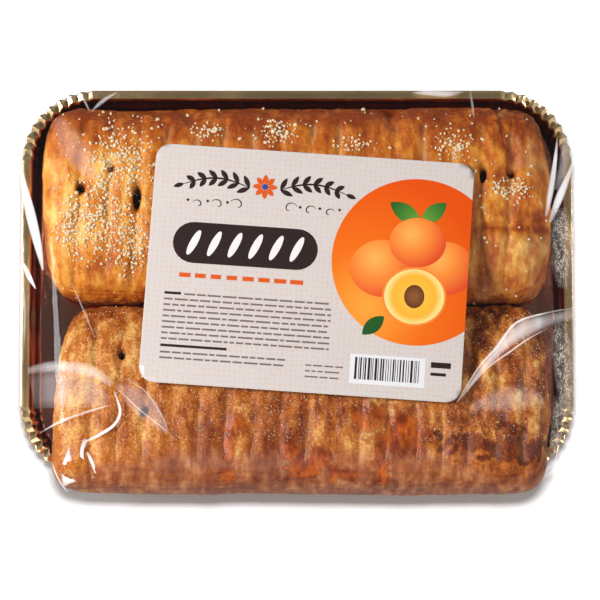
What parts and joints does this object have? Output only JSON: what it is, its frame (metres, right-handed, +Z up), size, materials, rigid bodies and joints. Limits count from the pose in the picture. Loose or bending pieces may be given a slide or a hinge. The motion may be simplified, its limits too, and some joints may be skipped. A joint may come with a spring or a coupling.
{
  "type": "packaged strudel",
  "caption": "Strudel rolls with sugared crust, side by side on a gold board tray, sealed in clear film under a paper label.",
  "frame": {"origin": "middle of the pack's outline, in the plane of its underside", "axes": "+X along the rolls, +Y from the raised front roll to the back roll, +Z up through the label"},
  "size_m": [0.2566, 0.189, 0.0527],
  "materials": {
    "gold_board": "gold foil on board, polished inside and satin on the rim",
    "crust_back": "golden baked crust with coarse sugar",
    "crust_front": "brown baked crust, matte with jam stains",
    "clear_film": "gloss, clear",
    "label_paper": "satin printed paper"
  },
  "bodies": {
    "root": {"tray": "gold_board", "strudel_back": "crust_back", "strudel_front": "crust_front", "film": "clear_film", "label": "label_paper"}
  },
  "joints": []
}
